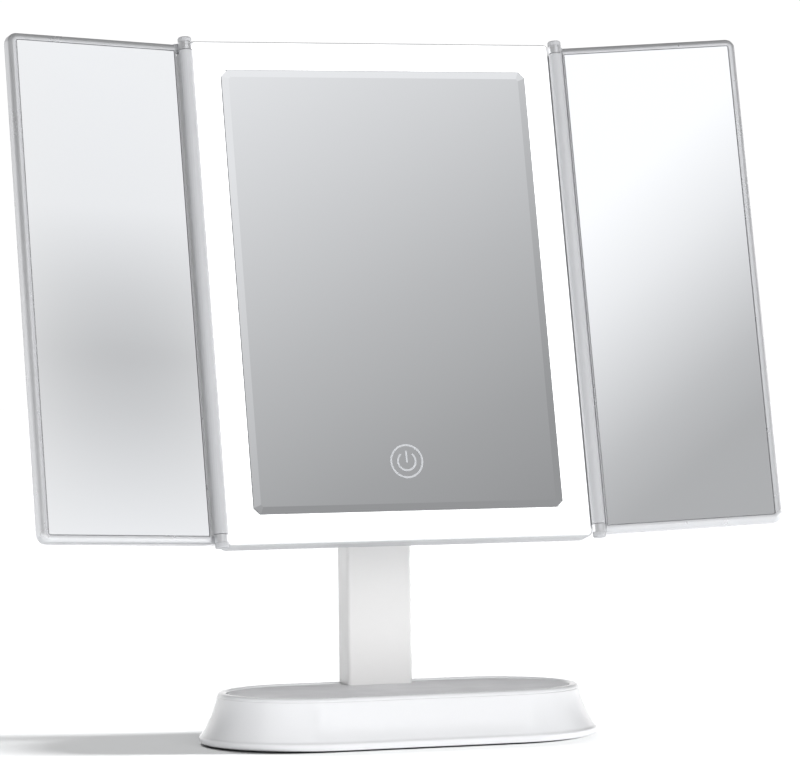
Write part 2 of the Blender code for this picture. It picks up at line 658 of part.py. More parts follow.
def lug_outline(side):
    """The eye round the hinge pin, with the arm that joins it to the wing's frame."""
    front, back, reach = WING_SET_BACK + 0.0004, 0.0074, 0.0042
    meet = math.degrees(math.asin(front / LUG_RADIUS))
    outline = [(reach, front), (reach, back), (0.0, back)]
    outline += arc((0.0, 0.0), LUG_RADIUS, 90.0, 360.0 + meet, 12)
    return [(side * x, y) for x, y in outline]


def make_wing_frame(name, side, parent):
    """A round-nosed frame with a ledge behind the glass, and an eye at each end for the pins."""
    nose = arc((0.0026, 0.0026), 0.0026, 270.0, 180.0, 5)
    profile = [(WING_MARGIN, 0.0028), (WING_MARGIN, 0.0001)] + nose
    profile += [(0.0, 0.0058), (0.0060, 0.0058), (0.0060, 0.0028)]
    frame = loft(name, [wing_ring(side, inset, depth) for inset, depth in profile], hollow=True)
    for end in (-1, 1):
        lug = loft("lug", [flat(lug_outline(side), end * z) for z in (LUG_BOTTOM, LUG_TOP)])
        hole_radius = PIN_RADIUS + 0.0002
        cut(lug, rod("pin_hole", "z", (0.0, 0.0), hole_radius, end * 0.1100, end * 0.1200))
        add(frame, lug)
    place(frame, SATIN_ALUMINIUM, parent)


def make_wing_mirror(name, side, parent):
    edge = WING_MARGIN + GAP
    profile = ((edge, 0.0026), (edge, 0.0005), (edge + 0.0003, 0.0002))
    rings = [wing_ring(side, inset, depth) for inset, depth in profile]
    place(loft(name, rings), MIRROR_SILVER, parent)


def make_wing_back(name, side, parent):
    profile = ((0.0, 0.0060), (0.0002, 0.0068), (0.0009, 0.0076), (0.0020, WING_DEPTH))
    rings = [wing_ring(side, inset, depth) for inset, depth in profile]
    place(loft(name, rings), WHITE_GLOSS, parent)


def make_hinge_pin(name, end, parent):
    """A pin with a domed cap, pressed into the eye and turning in the column's bore."""
    tip = COLUMN_HALF_HEIGHT - PIN_DEPTH
    profile = (
        (0.0009, tip), (PIN_RADIUS, tip + 0.0004), (PIN_RADIUS, LUG_TOP + 0.0001),
        (LUG_RADIUS, LUG_TOP + 0.0001), (LUG_RADIUS, CAP_TOP - 0.0007),
        (LUG_RADIUS * 0.88, CAP_TOP - 0.0002), (LUG_RADIUS * 0.60, CAP_TOP),
    )
    rings = [flat(circle(radius), end * z) for radius, z in profile]
    place(loft(name, rings), SATIN_ALUMINIUM, parent)


def make_wing(word, side, panel):
    make_hinge_column(f"{word}_hinge_column", side, panel)
    spot = (side * HINGE_X, -HINGE_OUT, 0.0)
    axis = empty(f"{word}_wing_axis", panel, spot, (0.0, 0.0, -side * WING_ANGLES[word]))
    make_wing_frame(f"{word}_wing_frame", side, axis)
    make_wing_mirror(f"{word}_wing_mirror", side, axis)
    make_wing_back(f"{word}_wing_back", side, axis)
    make_hinge_pin(f"{word}_hinge_pin_top", 1, axis)
    make_hinge_pin(f"{word}_hinge_pin_bottom", -1, axis)


def make_stand():
    stand = empty("stand_origin")
    for make in (
        make_base_shell, make_tray_mat, make_base_plate, make_foot_pad, make_base_screws,
        make_ballast_bar, make_battery_pack, make_charging_board, make_charging_port,
        make_stem, make_stem_foot, make_stem_yoke, make_tilt_hardware, make_stem_wire,
    ):
        make(stand)


def make_head():
    head = empty("head_tilt_axis", None, (0.0, STEM_Y, PIVOT_Z), (-TILT, 0.0, 0.0))
    panel = empty("panel_face", head, (0.0, -PANEL_FORWARD, 0.0))
    for make in (
        make_front_bezel, make_light_diffuser, make_centre_mirror, make_touch_parts,
        make_light_engine, make_control_board, make_rear_cover, make_cover_screws,
        make_tilt_bracket, make_head_wire,
    ):
        make(panel)
    make_wing("left", -1, panel)
    make_wing("right", 1, panel)


def clear_scene():
    for obj in list(bpy.data.objects):
        bpy.data.objects.remove(obj)


clear_scene()
make_stand()
make_head()
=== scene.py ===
"""Looks for the lighted tri-fold vanity mirror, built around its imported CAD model."""

import json
import math

import bmesh
import bpy
from mathutils import Matrix, Vector


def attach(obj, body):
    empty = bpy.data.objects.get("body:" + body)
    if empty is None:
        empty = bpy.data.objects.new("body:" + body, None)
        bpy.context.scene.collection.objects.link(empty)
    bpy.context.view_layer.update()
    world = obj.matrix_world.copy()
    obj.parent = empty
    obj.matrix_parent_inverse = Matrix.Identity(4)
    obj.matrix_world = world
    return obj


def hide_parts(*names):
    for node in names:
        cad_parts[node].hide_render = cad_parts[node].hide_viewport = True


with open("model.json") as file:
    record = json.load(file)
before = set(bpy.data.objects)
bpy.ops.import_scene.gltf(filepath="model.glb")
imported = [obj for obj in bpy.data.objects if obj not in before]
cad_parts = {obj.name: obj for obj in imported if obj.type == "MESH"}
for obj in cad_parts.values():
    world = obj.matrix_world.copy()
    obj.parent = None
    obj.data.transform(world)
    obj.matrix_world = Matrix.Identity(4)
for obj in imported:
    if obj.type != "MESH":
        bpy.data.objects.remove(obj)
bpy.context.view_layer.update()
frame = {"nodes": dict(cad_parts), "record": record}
NODES = frame["nodes"]
SCENE = bpy.context.scene

TILT = math.radians(12.9)
PIVOT = Vector((0.0, 0.0355, 0.2030))
PANEL_FORWARD = 0.0330
TOUCH_Z = -0.0825
EYE = Vector((-0.59395, -1.81243, 0.18900))

BASE_HALF_LENGTH = 0.0952
BASE_HALF_DEPTH = 0.0518
BASE_BOTTOM_Z = 0.0008
BASE_LIP_Z = 0.0040
BASE_RIM_Z = 0.0240
BASE_RIM_INSET = 0.0085
BASE_WALL = 0.0022
SHELL_ROOF_Z = 0.0196
TRAY_FLOOR_Z = 0.0224
RIM_WIDTH = 0.0042

HINGE_X = 0.0919
HINGE_OUT = 0.0010
WING_ANGLES = {"left": math.radians(11.1), "right": math.radians(12.7)}
WING_START = 0.0034
WING_WIDTH = 0.0848
WING_HALF_HEIGHT = 0.1186
WING_SET_BACK = 0.0020
WING_MARGIN = 0.0032
HINGE_MARGIN = 0.0009
WING_CORNERS = (0.0045, 0.0012, 0.0012, 0.0045)
NOSE_RADIUS = 0.0026
LUG_RADIUS = 0.0032
LUG_ENDS_Z = (0.1149, 0.1185)
PIN_BORE_RADIUS = 0.0015

RIM_ROUND_OUT = 0.0019
RIM_ROUND_IN = 0.0012
SHOULDER_Z = 0.0047
SHOULDER_SWELL = 0.0007
WALL_TOP_Z = 0.0220
NOTCH_HALF_WIDTH = 0.0163
NOTCH_FRONT_Y = 0.0272
NOTCH_BACK_Y = 0.0555
NOTCH_ROUND = 0.0019
PORT_Z = 0.0075
PORT_HALF_SIZE = (0.0048, 0.0020)

GLASS_FRONT = -0.00065
MARK_LINE = 0.0009
MARK_THICKNESS = 0.00005
OPAL_GLOW = 1.3

# The sky is bright up to the first height and dark from the second; heights are sines.
HORIZON_LEVEL = 1.03
CEILING = 0.15
RAMP_HEIGHTS = (0.15, 0.72)
SIDE_SLOPE = 1.3
GLASS_TINT = 0.82
CARD_DISTANCE = 3.0
CARD_SPARE_DOWN = 1.1
CARD_SCALE = (-1.5, 2.5)


# Small helpers

def link(obj):
    SCENE.collection.objects.link(obj)
    return obj


def panel_matrix():
    """From the head's own frame (X across, Y into the panel, Z up it) to the row frame."""
    return (Matrix.Translation(PIVOT) @ Matrix.Rotation(-TILT, 4, "X")
            @ Matrix.Translation((0.0, -PANEL_FORWARD, 0.0)))


def wing_matrix(word):
    """From a side mirror's own frame, at its hinge axis, to the row frame."""
    side = -1 if word == "left" else 1
    return (panel_matrix() @ Matrix.Translation((side * HINGE_X, -HINGE_OUT, 0.0))
            @ Matrix.Rotation(-side * WING_ANGLES[word], 4, "Z"))


def arc(centre, radius, start, end, steps):
    """Points on an arc, angles in degrees, both ends included."""
    angles = [math.radians(start + (end - start) * i / steps) for i in range(steps + 1)]
    return [(centre[0] + radius * math.cos(a), centre[1] + radius * math.sin(a)) for a in angles]


def rounded_rect(half_x, half_y, radii, steps):
    points = []
    for quarter, (side_x, side_y) in enumerate(((1, 1), (-1, 1), (-1, -1), (1, -1))):
        radius = radii[quarter]
        centre = (side_x * (half_x - radius), side_y * (half_y - radius))
        points += arc(centre, radius, 90.0 * quarter, 90.0 * quarter + 90.0, steps)
    return points


def panel_normal():
    """The way the lit face looks."""
    return (panel_matrix().to_3x3() @ Vector((0.0, -1.0, 0.0))).normalized()


def mesh_object(name, bm, smooth_angle=None):
    bmesh.ops.recalc_face_normals(bm, faces=bm.faces)
    mesh = bpy.data.meshes.new(name)
    bm.to_mesh(mesh)
    bm.free()
    if smooth_angle is not None:
        mesh.shade_smooth()
        mesh.set_sharp_from_angle(angle=math.radians(smooth_angle))
    return link(bpy.data.objects.new(name, mesh))


def loft(name, rings, hollow=False, smooth_angle=35.0):
    """A closed body through rings of equal length; hollow joins the last ring to the first."""
    bm = bmesh.new()
    loops = [[bm.verts.new(point) for point in ring] for ring in rings]
    pairs = list(zip(loops, loops[1:]))
    if hollow:
        pairs.append((loops[-1], loops[0]))
    else:
        bm.faces.new(loops[0])
        bm.faces.new(loops[-1])
    for lower, upper in pairs:
        for i, j in zip(range(len(lower)), list(range(1, len(lower))) + [0]):
            bm.faces.new((lower[i], lower[j], upper[j], upper[i]))
    return mesh_object(name, bm, smooth_angle)


def combine(target, operation, tool, smooth_angle=35.0):
    """Apply a Boolean with a tool, and remove the tool."""
    modifier = target.modifiers.new("combine", "BOOLEAN")
    modifier.operation = operation
    modifier.solver = "EXACT"
    modifier.object = tool
    bpy.context.view_layer.update()
    depsgraph = bpy.context.evaluated_depsgraph_get()
    target.data = bpy.data.meshes.new_from_object(target.evaluated_get(depsgraph))
    target.modifiers.clear()
    target.data.shade_smooth()
    target.data.set_sharp_from_angle(angle=math.radians(smooth_angle))
    bpy.data.objects.remove(tool)


def stand_for(obj, node, body, look):
    """Give a finer piece its material, and let it stand for its CAD node."""
    obj.data.materials.clear()
    obj.data.materials.append(look)
    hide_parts(node)
    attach(obj, body)


# Materials

class Shader:
    """A node material with a Principled shader and short ways to add texture to it."""

    def __init__(self, name, colour, roughness, metallic=0.0):
        self.material = bpy.data.materials.new(name)
        self.material.use_nodes = True
        self.tree = self.material.node_tree
        self.bsdf = self.tree.nodes["Principled BSDF"]
        self.bsdf.inputs["Base Color"].default_value = (*colour, 1.0)
        self.bsdf.inputs["Roughness"].default_value = roughness
        self.bsdf.inputs["Metallic"].default_value = metallic
        self.colour = colour
        self.roughness = roughness
        self.coords = self.tree.nodes.new("ShaderNodeTexCoord")
        self.height = None

    def noise(self, scale, detail=3.0, stretch=(1.0, 1.0, 1.0)):
        """Noise in object space; scale counts features per metre."""
        mapping = self.tree.nodes.new("ShaderNodeMapping")
        mapping.inputs["Scale"].default_value = stretch
        texture = self.tree.nodes.new("ShaderNodeTexNoise")
        texture.inputs["Scale"].default_value = scale
        texture.inputs["Detail"].default_value = detail
        self.tree.links.new(self.coords.outputs["Object"], mapping.inputs["Vector"])
        self.tree.links.new(mapping.outputs["Vector"], texture.inputs["Vector"])
        return texture.outputs["Fac"]

    def ranged(self, source, low, high, start=0.3, end=0.7):
        """Map a factor to a range of values."""
        node = self.tree.nodes.new("ShaderNodeMapRange")
        node.inputs["From Min"].default_value = start
        node.inputs["From Max"].default_value = end
        node.inputs["To Min"].default_value = low
        node.inputs["To Max"].default_value = high
        self.tree.links.new(source, node.inputs["Value"])
        return node.outputs["Result"]

    def blend_colour(self, factor, other):
        """Mix the base colour towards another by a factor."""
        node = self.tree.nodes.new("ShaderNodeMix")
        node.data_type = "RGBA"
        socket = self.bsdf.inputs["Base Color"]
        if socket.is_linked:
            self.tree.links.new(socket.links[0].from_socket, node.inputs[6])
        else:
            node.inputs[6].default_value = socket.default_value
        node.inputs[7].default_value = (*other, 1.0)
        self.tree.links.new(factor, node.inputs["Factor"])
        self.tree.links.new(node.outputs[2], socket)
        return self

    def vary_roughness(self, source, spread):
        low, high = max(self.roughness - spread, 0.01), self.roughness + spread
        self.tree.links.new(self.ranged(source, low, high), self.bsdf.inputs["Roughness"])
        return self

    def bump(self, source, distance, strength=1.0):
        node = self.tree.nodes.new("ShaderNodeBump")
        node.inputs["Distance"].default_value = distance
        node.inputs["Strength"].default_value = strength
        self.tree.links.new(source, node.inputs["Height"])
        if self.height is not None:
            self.tree.links.new(self.height, node.inputs["Normal"])
        self.height = node.outputs["Normal"]
        self.tree.links.new(self.height, self.bsdf.inputs["Normal"])
        return self

    def coat(self, weight, roughness):
        self.bsdf.inputs["Coat Weight"].default_value = weight
        self.bsdf.inputs["Coat Roughness"].default_value = roughness
        return self

    def fade_glow(self, normal, strength):
        """Let the glow fall off where the surface turns away from a direction in object space."""
        dot = self.tree.nodes.new("ShaderNodeVectorMath")
        dot.operation = "DOT_PRODUCT"
        dot.inputs[1].default_value = normal
        self.tree.links.new(self.coords.outputs["Normal"], dot.inputs[0])
        level = self.ranged(dot.outputs["Value"], 0.03 * strength, strength, 0.80, 1.0)
        self.tree.links.new(level, self.bsdf.inputs["Emission Strength"])
        return self

    def glow(self, colour, strength):
        self.bsdf.inputs["Emission Color"].default_value = (*colour, 1.0)
        self.bsdf.inputs["Emission Strength"].default_value = strength
        return self


def moulded(name, colour, roughness, coat=0.0):
    """Injection-moulded plastic: a fine orange-peel surface and slow colour and gloss drift."""
    shader = Shader(name, colour, roughness)
    drift = shader.ranged(shader.noise(14.0, 4.0), 0.0, 0.35)
    shader.blend_colour(drift, [c * 0.94 for c in colour])
    shader.vary_roughness(shader.noise(60.0, 5.0), roughness * 0.25)
    shader.bump(shader.noise(420.0, 2.0), 0.000006)
    shader.bsdf.inputs["IOR"].default_value = 1.5
    if coat:
        shader.coat(coat, 0.06)
    return shader.material


def satin_paint(name, colour, roughness, metallic=0.0):
    """Sprayed satin finish with a fine even grain."""
    shader = Shader(name, colour, roughness, metallic)
    drift = shader.ranged(shader.noise(30.0, 5.0), 0.0, 0.3)
    shader.blend_colour(drift, [c * 0.93 for c in colour])
    shader.vary_roughness(shader.noise(90.0, 3.0), roughness * 0.12)
    shader.bump(shader.noise(260.0, 2.0), 0.000004)
    return shader.material


def brushed(name, colour, roughness, stretch):
    """Drawn metal: long fine scratches along one axis."""
    shader = Shader(name, colour, roughness, 1.0)
    lines = shader.noise(500.0, 4.0, stretch)
    shader.vary_roughness(lines, roughness * 0.35)
    shader.bump(lines, 0.000008)
    drift = shader.ranged(shader.noise(25.0, 4.0), 0.0, 0.4)
    shader.blend_colour(drift, [c * 0.88 for c in colour])
    return shader.material


def silvered(name, colour):
    """Silvered glass: a clean reflection with the faintest wiping marks."""
    shader = Shader(name, colour, 0.035, 1.0)
    marks = shader.noise(9.0, 6.0, (1.0, 1.0, 2.5))
    wiped = shader.ranged(marks, 0.025, 0.05, 0.35, 0.75)
    shader.tree.links.new(wiped, shader.bsdf.inputs["Roughness"])
    drift = shader.ranged(shader.noise(5.0, 3.0), 0.0, 0.25)
    shader.blend_colour(drift, [c * 0.97 for c in colour])
    return shader.material


def make_materials():
    looks = {
        "gloss": moulded("white_gloss_moulding", (0.82, 0.825, 0.84), 0.16, 0.6),
        "satin": satin_paint("white_satin_moulding", (0.54, 0.545, 0.56), 0.36),
        "frame": satin_paint("pearl_satin_frame", (0.72, 0.725, 0.74), 0.30, 0.65),
        "stem": satin_paint("pearl_stem_coating", (0.80, 0.795, 0.79), 0.34, 0.1),
        "tray": moulded("grey_tray_insert", (0.58, 0.58, 0.595), 0.5),
        "mirror": silvered("silvered_glass", (0.82, 0.825, 0.83)),
        "steel": brushed("zinc_plated_steel", (0.58, 0.58, 0.60), 0.34, (1.0, 1.0, 0.08)),
    }
    rubber = Shader("dark_rubber", (0.045, 0.045, 0.05), 0.8)
    rubber.vary_roughness(rubber.noise(700.0), 0.1)
    rubber.bump(rubber.noise(1800.0), 0.00003)
    looks["rubber"] = rubber.material
    opal = Shader("lit_opal_frame", (0.55, 0.56, 0.57), 0.4)
    opal.vary_roughness(opal.noise(500.0), 0.06)
    opal.bump(opal.noise(1500.0), 0.000008)
    opal.glow((1.0, 1.0, 1.0), OPAL_GLOW)
    opal.fade_glow(panel_normal(), OPAL_GLOW)
    looks["opal"] = opal.material
    board = Shader("circuit_board", (0.02, 0.16, 0.07), 0.4)
    traces = board.ranged(board.noise(900.0, 1.0), 0.0, 0.8, 0.45, 0.55)
    board.blend_colour(traces, (0.05, 0.26, 0.12))
    board.bump(board.noise(900.0, 1.0), 0.00002)
    looks["board"] = board.material
    film = Shader("white_reflector_film", (0.88, 0.88, 0.86), 0.55)
    film.bump(film.noise(300.0), 0.00002)
    film.vary_roughness(film.noise(300.0), 0.08)
    looks["film"] = film.material
    cell = Shader("shrink_wrapped_cell", (0.04, 0.10, 0.30), 0.35)
    cell.bump(cell.noise(120.0, 4.0), 0.00008)
    cell.vary_roughness(cell.noise(60.0), 0.1)
    looks["cell"] = cell.material
    sleeve = Shader("wire_sleeve", (0.02, 0.02, 0.022), 0.5)
    sleeve.bump(sleeve.noise(1500.0), 0.00001)
    sleeve.vary_roughness(sleeve.noise(200.0), 0.1)
    looks["sleeve"] = sleeve.material
    foam = Shader("closed_cell_foam", (0.25, 0.25, 0.26), 0.95)
    foam.bump(foam.noise(1400.0, 3.0), 0.0002)
    foam.blend_colour(foam.ranged(foam.noise(1400.0, 3.0), 0.0, 0.6), (0.16, 0.16, 0.17))
    looks["foam"] = foam.material
    etched = Shader("etched_touch_mark", (0.52, 0.53, 0.55), 0.55)
    etched.vary_roughness(etched.noise(2500.0), 0.08)
    etched.glow((0.95, 0.97, 1.0), 0.04)
    looks["etched"] = etched.material
    return looks


LOOK_BY_SLOT = {
    "white_gloss": "gloss", "white_satin": "satin", "tray_grey": "tray", "rubber_dark": "rubber",
    "satin_aluminium": "frame", "steel": "steel", "mirror_silver": "mirror", "opal": "opal",
    "board_green": "board", "strip_white": "film", "cell_blue": "cell", "cable_black": "sleeve",
    "foam_grey": "foam",
}


def paint_nodes(looks):
    """Give every CAD node the look of its slot, apart from the stem and the hinge pins."""
    slots = {part["node"]: part["material_slot"] for part in frame["record"]["subparts"]}
    special = {"stem": "stem"}
    special.update({name: "satin" for name in NODES if "_hinge_pin_" in name})
    for name, obj in NODES.items():
        look = special.get(name) or LOOK_BY_SLOT[slots[name]]
        obj.data.materials.clear()
        obj.data.materials.append(looks[look])
        obj.data.polygons.foreach_set("material_index", [0] * len(obj.data.polygons))


# Finer pieces that stand for CAD nodes

def base_section(inset, z):
    half_length, half_depth = BASE_HALF_LENGTH - inset, BASE_HALF_DEPTH - inset
    straight = half_length - half_depth
    outline = arc((straight, 0.0), half_depth, -90.0, 90.0, 48)
    outline += arc((-straight, 0.0), half_depth, 90.0, 270.0, 48)
    return [(x, y, z) for x, y in outline]


def wall_inset(z):
    """How far the concave wall has come in at a height."""
    share = min(1.0, max(0.0, (z - BASE_LIP_Z) / (BASE_RIM_Z - BASE_LIP_Z)))
    return BASE_RIM_INSET * (1.6 * share - 0.6 * share * share)


def make_base_moulding(looks):
    """The base's shell: a foot band with a soft shoulder, a concave wall and a round rim."""
    levels = [SHELL_ROOF_Z - (SHELL_ROOF_Z - BASE_LIP_Z) * i / 8 for i in range(9)]
    profile = [(wall_inset(z) + BASE_WALL, z) for z in levels] + [(BASE_WALL, BASE_BOTTOM_Z)]
    profile += arc((0.0012, 0.0020), 0.0012, 270.0, 180.0, 6)
    profile += [(0.0, 0.0033), (0.0001, 0.0037), (0.0004, 0.0041), (0.0009, 0.0044)]
    for i in range(25):
        share = i / 24
        z = SHOULDER_Z + (WALL_TOP_Z - SHOULDER_Z) * share
        profile.append((wall_inset(z) + SHOULDER_SWELL * (1.0 - share) ** 2, z))
    outer = (BASE_RIM_INSET + RIM_ROUND_OUT, BASE_RIM_Z - RIM_ROUND_OUT)
    inner = (BASE_RIM_INSET + RIM_WIDTH - RIM_ROUND_IN, BASE_RIM_Z - RIM_ROUND_IN)
    profile += arc(outer, RIM_ROUND_OUT, 176.0, 90.0, 9)
    profile += arc(inner, RIM_ROUND_IN, 90.0, 0.0, 6)
    profile.append((BASE_RIM_INSET + RIM_WIDTH, TRAY_FLOOR_Z))
    shell = loft("base_moulding", [base_section(inset, z) for inset, z in profile])
    notch = [(NOTCH_HALF_WIDTH, NOTCH_BACK_Y), (-NOTCH_HALF_WIDTH, NOTCH_BACK_Y)]
    corner_x, corner_y = NOTCH_HALF_WIDTH - NOTCH_ROUND, NOTCH_FRONT_Y + NOTCH_ROUND
    notch += arc((-corner_x, corner_y), NOTCH_ROUND, 180.0, 270.0, 6)
    notch += arc((corner_x, corner_y), NOTCH_ROUND, 270.0, 360.0, 6)
    slot = [[(x, y, z) for x, y in notch] for z in (0.0150, 0.0300)]
    combine(shell, "DIFFERENCE", loft("notch", slot))
    port = rounded_rect(*PORT_HALF_SIZE, (0.0019,) * 4, 8)
    hole = [[(x, y, z + PORT_Z) for x, z in port] for y in (0.0413, 0.0540)]
    combine(shell, "DIFFERENCE", loft("port_hole", hole))
    stand_for(shell, "base_shell", "stand", looks["gloss"])
    return shell


def wing_ring(side, inset, depth):
    """A side mirror's outline, pulled in less on the hinge side."""
    near = max(inset * HINGE_MARGIN / WING_MARGIN, inset - WING_MARGIN + HINGE_MARGIN)
    half_width = (WING_WIDTH - inset - near) / 2
    middle = WING_START + near + half_width
    radii = tuple(max(radius - inset, 0.0003) for radius in WING_CORNERS)
    outline = rounded_rect(half_width, WING_HALF_HEIGHT - inset, radii, 10)
    return [(side * (x + middle), WING_SET_BACK + depth, z) for x, z in outline]


def make_wing_surround(word, looks):
    """The round-nosed frame of a side mirror, with its two hinge eyes."""
    side = -1 if word == "left" else 1
    inner = WING_MARGIN + 0.0002
    profile = [(inner, 0.0028), (inner, 0.0002), (inner - 0.0002, 0.0)]
    profile += arc((NOSE_RADIUS, NOSE_RADIUS), NOSE_RADIUS, 270.0, 180.0, 12)
    profile += [(0.0, 0.0058), (0.0060, 0.0058), (0.0060, 0.0028)]
    rings = [wing_ring(side, inset, depth) for inset, depth in profile]
    surround = loft(f"{word}_wing_surround", rings, hollow=True)
    front, back, reach = WING_SET_BACK + 0.0004, 0.0074, 0.0042
    outline = [(reach, front), (reach, back), (0.0, back)]
    meet = math.degrees(math.asin(front / LUG_RADIUS))
    outline += arc((0.0, 0.0), LUG_RADIUS, 90.0, 360.0 + meet, 30)
    hole = arc((0.0, 0.0), PIN_BORE_RADIUS, 0.0, 345.0, 23)
    for end in (-1, 1):
        lug = loft("lug", [[(side * x, y, end * z) for x, y in outline] for z in LUG_ENDS_Z])
        bore = loft("bore", [[(x, y, end * z) for x, y in hole] for z in (0.1100, 0.1200)])
        combine(lug, "DIFFERENCE", bore)
        combine(surround, "UNION", lug)
    surround.data.transform(wing_matrix(word))
    stand_for(surround, f"{word}_wing_frame", f"{word}_wing", looks["frame"])


# The touch mark

def flat_band(name, path, looks, closed=False):
    """A thin flat line that follows a path on the mirror's front; path holds (x, z) points."""
    bm = bmesh.new()
    count = len(path)
    sections = []
    for i, (x, z) in enumerate(path):
        before = path[i - 1] if closed or i > 0 else path[0]
        after = path[(i + 1) % count] if closed or i < count - 1 else path[-1]
        along = Vector((after[0] - before[0], after[1] - before[1])).normalized()
        side = Vector((-along.y, along.x)) * MARK_LINE / 2
        sections.append([
            bm.verts.new((x + s * side.x, GLASS_FRONT - t, z + s * side.y))
            for s, t in ((-1, 0), (1, 0), (1, MARK_THICKNESS), (-1, MARK_THICKNESS))
        ])
    following = sections[1:] + sections[:1] if closed else sections[1:]
    for a, b in zip(sections, following):
        for i in range(4):
            j = (i + 1) % 4
            bm.faces.new((a[i], a[j], b[j], b[i]))
    if not closed:
        bm.faces.new(sections[0])
        bm.faces.new(sections[-1])
    obj = mesh_object(name, bm)
    obj.data.transform(panel_matrix())
    obj.data.materials.append(looks["etched"])
    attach(obj, "head")


def round_path(radius, start, end, steps):
    angles = [math.radians(start + (end - start) * i / steps) for i in range(steps + 1)]
    return [(radius * math.sin(a), TOUCH_Z + radius * math.cos(a)) for a in angles]


def make_touch_mark(looks):
    """Power sign etched in the silvering: an outer ring, an open arc and a short bar."""
    flat_band("touch_ring", round_path(0.0076, 0.0, 360.0 * 63 / 64, 63), looks, closed=True)
    flat_band("touch_arc", round_path(0.0043, 38.0, 322.0, 40), looks)
    flat_band("touch_bar", [(0.0, TOUCH_Z + 0.0049), (0.0, TOUCH_Z - 0.0006)], looks)


# Studio

def make_camera():
    camera = bpy.data.cameras.new("camera")
    camera.lens = 183.69
    camera.sensor_fit = "HORIZONTAL"
    camera.sensor_width = 36.0
    camera.clip_start = 0.05
    camera.clip_end = 60.0
    obj = link(bpy.data.objects.new("camera", camera))
    yaw, pitch, roll = math.radians(18.21), math.radians(-0.79), math.radians(-0.70)
    obj.matrix_world = (
        Matrix.Translation(EYE) @ Matrix.Rotation(-yaw, 4, "Z")
        @ Matrix.Rotation(math.radians(90.0) + pitch, 4, "X") @ Matrix.Rotation(roll, 4, "Z")
    )
    SCENE.camera = obj


def area_light(name, location, target, size, power):
    light = bpy.data.lights.new(name, "AREA")
    light.shape = "RECTANGLE"
    light.size = size
    light.size_y = size
    light.energy = power
    obj = link(bpy.data.objects.new(name, light))
    direction = Vector(target) - Vector(location)
    obj.matrix_world = (
        Matrix.Translation(location) @ direction.to_track_quat("-Z", "Y").to_matrix().to_4x4()
    )
    return obj


def make_floor():
    bm = bmesh.new()
    bmesh.ops.create_circle(bm, cap_ends=True, segments=64, radius=9.0)
    floor = mesh_object("studio_floor", bm)
    shader = Shader("studio_floor_paper", (0.30, 0.3035, 0.307), 0.9)
    shader.blend_colour(shader.ranged(shader.noise(3.0, 3.0), 0.0, 0.2), (0.295, 0.2985, 0.302))
    floor.data.materials.append(shader.material)
    return floor


def make_world():
    """A bright band round the horizon, lower at the left and right, under a dark ceiling."""
    world = bpy.data.worlds.new("studio")
    SCENE.world = world
    world.use_nodes = True
    tree = world.node_tree
    background = tree.nodes["Background"]
    coords = tree.nodes.new("ShaderNodeTexCoord")
    split = tree.nodes.new("ShaderNodeSeparateXYZ")
    ramp = tree.nodes.new("ShaderNodeMapRange")
    ramp.interpolation_type = "SMOOTHSTEP"
    ramp.inputs["From Min"].default_value = RAMP_HEIGHTS[0]
    ramp.inputs["From Max"].default_value = RAMP_HEIGHTS[1]
    ramp.inputs["To Min"].default_value = HORIZON_LEVEL
    ramp.inputs["To Max"].default_value = CEILING
    tree.links.new(coords.outputs["Generated"], split.inputs["Vector"])
    sideways = tree.nodes.new("ShaderNodeMath")
    sideways.operation = "ABSOLUTE"
    steeper = tree.nodes.new("ShaderNodeMath")
    steeper.operation = "MULTIPLY_ADD"
    steeper.inputs[1].default_value = SIDE_SLOPE
    steeper.inputs[2].default_value = 1.0
    height = tree.nodes.new("ShaderNodeMath")
    height.operation = "MULTIPLY"
    tree.links.new(split.outputs["X"], sideways.inputs[0])
    tree.links.new(sideways.outputs["Value"], steeper.inputs[0])
    tree.links.new(split.outputs["Z"], height.inputs[0])
    tree.links.new(steeper.outputs["Value"], height.inputs[1])
    tree.links.new(height.outputs["Value"], ramp.inputs["Value"])
    tree.links.new(ramp.outputs["Result"], background.inputs["Color"])


def srgb_to_linear(value):
    value /= 255.0
    return value / 12.92 if value <= 0.04045 else ((value + 0.055) / 1.055) ** 2.4


def lighten_sides(tree, place, colour, emission, value):
    """Bring a card's tone back to its top value towards its left and right sides."""
    split = tree.nodes.new("ShaderNodeSeparateXYZ")
    centred = tree.nodes.new("ShaderNodeMath")
    centred.operation = "SUBTRACT"
    centred.inputs[1].default_value = 0.55
    square = tree.nodes.new("ShaderNodeMath")
    square.operation = "POWER"
    square.inputs[1].default_value = 2.0
    share = tree.nodes.new("ShaderNodeMath")
    share.operation = "MULTIPLY"
    share.use_clamp = True
    share.inputs[1].default_value = 1.1
    away = tree.nodes.new("ShaderNodeMath")
    away.operation = "ABSOLUTE"
    mix = tree.nodes.new("ShaderNodeMix")
    mix.data_type = "RGBA"
    level = srgb_to_linear(value) / GLASS_TINT
    mix.inputs[7].default_value = (level, level, level, 1.0)
    tree.links.new(place, split.inputs["Vector"])
    tree.links.new(split.outputs["X"], centred.inputs[0])
    tree.links.new(centred.outputs["Value"], away.inputs[0])
    tree.links.new(away.outputs["Value"], square.inputs[0])
    tree.links.new(square.outputs["Value"], share.inputs[0])
    tree.links.new(share.outputs["Value"], mix.inputs["Factor"])
    tree.links.new(colour, mix.inputs[6])
    tree.links.new(mix.outputs[2], emission.inputs["Color"])


